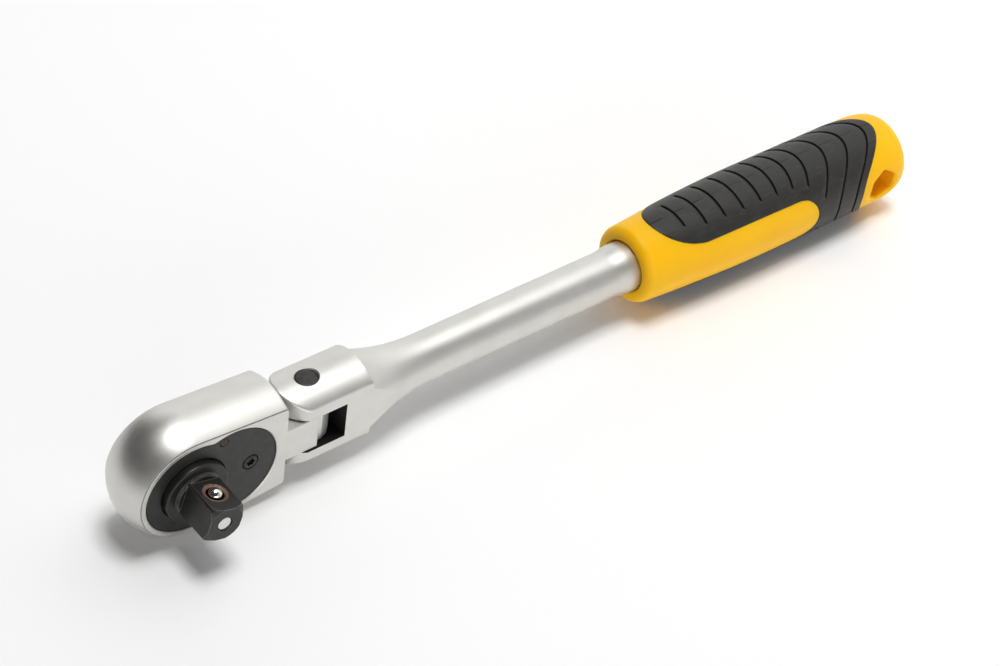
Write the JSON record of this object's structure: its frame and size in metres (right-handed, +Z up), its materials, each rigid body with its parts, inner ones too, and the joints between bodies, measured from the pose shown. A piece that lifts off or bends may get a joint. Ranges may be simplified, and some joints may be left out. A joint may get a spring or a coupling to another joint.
{
  "type": "flex head ratchet",
  "caption": "Hand ratchet with a flexing teardrop head, square drive, black cover plate, round chromed shaft and a ribbed two-tone grip with a hanging hole.",
  "frame": {"origin": "under the middle of the tool's box, on the plane that the head's lowest point touches", "axes": "+X from the head to the grip's end, -Y the way the square drive points, +Z up along the hinge pin"},
  "size_m": [0.2676, 0.0356, 0.0352],
  "materials": {
    "satin_chrome": "satin, bead blasted",
    "black_oxide": "black oxide, satin",
    "pin_steel": "dark, ground",
    "dowel_steel": "brown, ground",
    "bright_steel": "bright, turned",
    "spring_steel": "drawn",
    "ball_chrome": "polished",
    "yellow_plastic": "satin moulded",
    "black_rubber": "matte moulded"
  },
  "bodies": {
    "handle": {"handle_shaft": "satin_chrome", "hinge_pin": "pin_steel", "grip_core": "yellow_plastic", "grip_sleeve": "black_rubber", "index_spring": "spring_steel"},
    "index_plunger": {"index_plunger": "spring_steel"},
    "head": {"head_housing": "satin_chrome", "cover_plate": "black_oxide", "cover_screw": "black_oxide", "dowel_pin_upper": "dowel_steel", "dowel_pin_lower": "dowel_steel", "lever_seal": "black_rubber"},
    "drive": {"drive_gear": "black_oxide", "button_ring": "spring_steel", "release_spring": "spring_steel"},
    "release": {"release_plunger": "bright_steel", "release_button": "bright_steel"},
    "ball": {"detent_ball": "ball_chrome"},
    "lever": {"reversing_lever": "satin_chrome", "lever_plunger": "bright_steel", "lever_spring": "spring_steel", "lever_clip": "spring_steel"},
    "pawl": {"pawl": "spring_steel"}
  },
  "joints": [
    {"name": "head_flex", "type": "hinge", "parent": "handle", "child": "head", "pos_m": [-0.078, 0.0041, 0.01758], "axis": [0, 0, 1], "range_deg": [-67.5, 67.5]},
    {"name": "index_press", "type": "slide", "parent": "handle", "child": "index_plunger", "axis": [1, 0, 0], "range_m": [0, 0.0004], "stiffness_N_per_m": 2000, "deforming": ["index_spring"]},
    {"name": "drive_spin", "type": "hinge", "parent": "head", "child": "drive", "pos_m": [-0.1162, 0.0041, 0.01758], "axis": [0, -1, 0], "continuous": true},
    {"name": "release_press", "type": "slide", "parent": "drive", "child": "release", "axis": [0, -1, 0], "range_m": [0, 0.002], "stiffness_N_per_m": 800, "deforming": ["release_spring"]},
    {"name": "ball_retract", "type": "slide", "parent": "drive", "child": "ball", "axis": [-0.2588, 0, -0.9659], "range_m": [0, 0.0009]},
    {"name": "lever_turn", "type": "hinge", "parent": "head", "child": "lever", "pos_m": [-0.0995, 0.0041, 0.01758], "axis": [0, -1, 0], "range_deg": [0, 50]},
    {"name": "pawl_rock", "type": "hinge", "parent": "head", "child": "pawl", "pos_m": [-0.0995, 0.0041, 0.01758], "axis": [0, -1, 0], "range_deg": [-7.3, 0]}
  ],
  "couplings": [
    {"joint": "ball_retract", "follows": "release_press", "ratio": 0.45},
    {"joint": "pawl_rock", "follows": "lever_turn", "ratio": -0.146}
  ]
}
